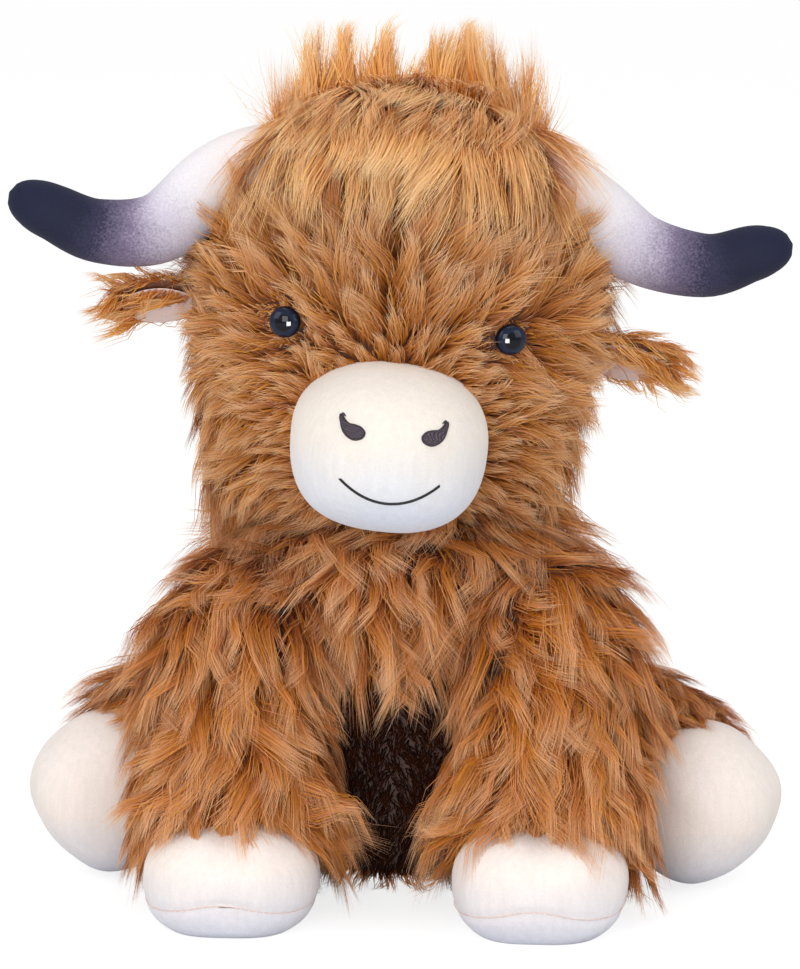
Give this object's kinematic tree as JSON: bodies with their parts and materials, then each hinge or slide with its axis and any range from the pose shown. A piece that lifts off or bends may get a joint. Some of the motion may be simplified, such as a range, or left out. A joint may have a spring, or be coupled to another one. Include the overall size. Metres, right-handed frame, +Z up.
{
  "type": "seated plush cow",
  "caption": "Seated plush Highland cow with long brown fur, velour muzzle and hooves, soft curved horns, ears, and limbs that flex at their seams.",
  "frame": {"origin": "on the floor, in the middle of the body's flat seat, below the neck's axis less 5 mm", "axes": "+Z up, -Y the way the cow faces, +X to the right of a viewer who faces the cow"},
  "size_m": [0.306, 0.2421, 0.3336],
  "materials": {
    "fur": "long brushed pile",
    "forelock_fur": "longer silky pile",
    "velour": "short nap velour",
    "ear_velour": "short nap velour",
    "horn_velour": "short nap velour, shaded from white to navy at the tip",
    "embroidery_thread": "embroidery thread",
    "eye_plastic": "gloss",
    "washer_plastic": "matte",
    "polyester_fibre": "loose fibre",
    "cotton_bag": "plain cotton"
  },
  "bodies": {
    "body": {"body_cover": "fur", "body_filling": "polyester_fibre", "seat_pellet_bag": "cotton_bag"},
    "head": {"head_cover": "fur", "head_filling": "polyester_fibre", "forelock": "forelock_fur", "muzzle_cover": "velour", "muzzle_filling": "polyester_fibre", "mouth_stitching": "embroidery_thread", "nostril_left": "embroidery_thread", "nostril_right": "embroidery_thread", "eye_left": "eye_plastic", "eye_right": "eye_plastic", "eye_washer_left": "washer_plastic", "eye_washer_right": "washer_plastic", "horn_left": "horn_velour", "horn_right": "horn_velour", "horn_filling_left": "polyester_fibre", "horn_filling_right": "polyester_fibre"},
    "tail": {"tail_strap": "fur", "tail_tuft": "fur"},
    "ear_left": {"ear_back_left": "fur", "ear_lining_left": "ear_velour"},
    "front_leg_left": {"front_leg_left_cover": "fur", "front_leg_left_filling": "polyester_fibre", "front_hoof_upper_left": "velour", "front_hoof_sole_left": "velour"},
    "hind_leg_left": {"hind_leg_left_cover": "fur", "hind_leg_left_filling": "polyester_fibre", "hind_hoof_upper_left": "velour", "hind_hoof_sole_left": "velour"},
    "ear_right": {"ear_back_right": "fur", "ear_lining_right": "ear_velour"},
    "front_leg_right": {"front_leg_right_cover": "fur", "front_leg_right_filling": "polyester_fibre", "front_hoof_upper_right": "velour", "front_hoof_sole_right": "velour"},
    "hind_leg_right": {"hind_leg_right_cover": "fur", "hind_leg_right_filling": "polyester_fibre", "hind_hoof_upper_right": "velour", "hind_hoof_sole_right": "velour"}
  },
  "joints": [
    {"name": "neck_turn", "type": "hinge", "parent": "body", "child": "head", "pos_m": [0, 0.005, 0.165], "axis": [0, 0, 1], "range_deg": [-25, 25], "stiffness_Nm_per_rad": 0.6},
    {"name": "front_leg_left_swing", "type": "hinge", "parent": "body", "child": "front_leg_left", "pos_m": [-0.058, -0.034, 0.11], "axis": [-1, 0, 0], "range_deg": [0, 50], "stiffness_Nm_per_rad": 0.15},
    {"name": "front_leg_right_swing", "type": "hinge", "parent": "body", "child": "front_leg_right", "pos_m": [0.058, -0.034, 0.11], "axis": [-1, 0, 0], "range_deg": [0, 50], "stiffness_Nm_per_rad": 0.15},
    {"name": "hind_leg_left_lift", "type": "hinge", "parent": "body", "child": "hind_leg_left", "pos_m": [-0.074, 0.028, 0.0475], "axis": [-0.5051, 0.8631, 0], "range_deg": [0, 20], "stiffness_Nm_per_rad": 0.2},
    {"name": "hind_leg_right_lift", "type": "hinge", "parent": "body", "child": "hind_leg_right", "pos_m": [0.074, 0.028, 0.0475], "axis": [-0.5051, -0.8631, 0], "range_deg": [0, 20], "stiffness_Nm_per_rad": 0.2},
    {"name": "ear_left_flap", "type": "hinge", "parent": "head", "child": "ear_left", "pos_m": [-0.08672, -0.01678, 0.22988], "axis": [0.0532, -0.6672, 0.743], "range_deg": [-10, 25], "stiffness_Nm_per_rad": 0.01},
    {"name": "ear_right_flap", "type": "hinge", "parent": "head", "child": "ear_right", "pos_m": [0.0794, 0.00068, 0.21614], "axis": [-0.2072, 0.651, -0.7302], "range_deg": [-10, 25], "stiffness_Nm_per_rad": 0.01},
    {"name": "tail_lift", "type": "hinge", "parent": "body", "child": "tail", "pos_m": [0, 0.0875, 0.062], "axis": [1, 0, 0], "range_deg": [0, 60], "stiffness_Nm_per_rad": 0.006}
  ]
}
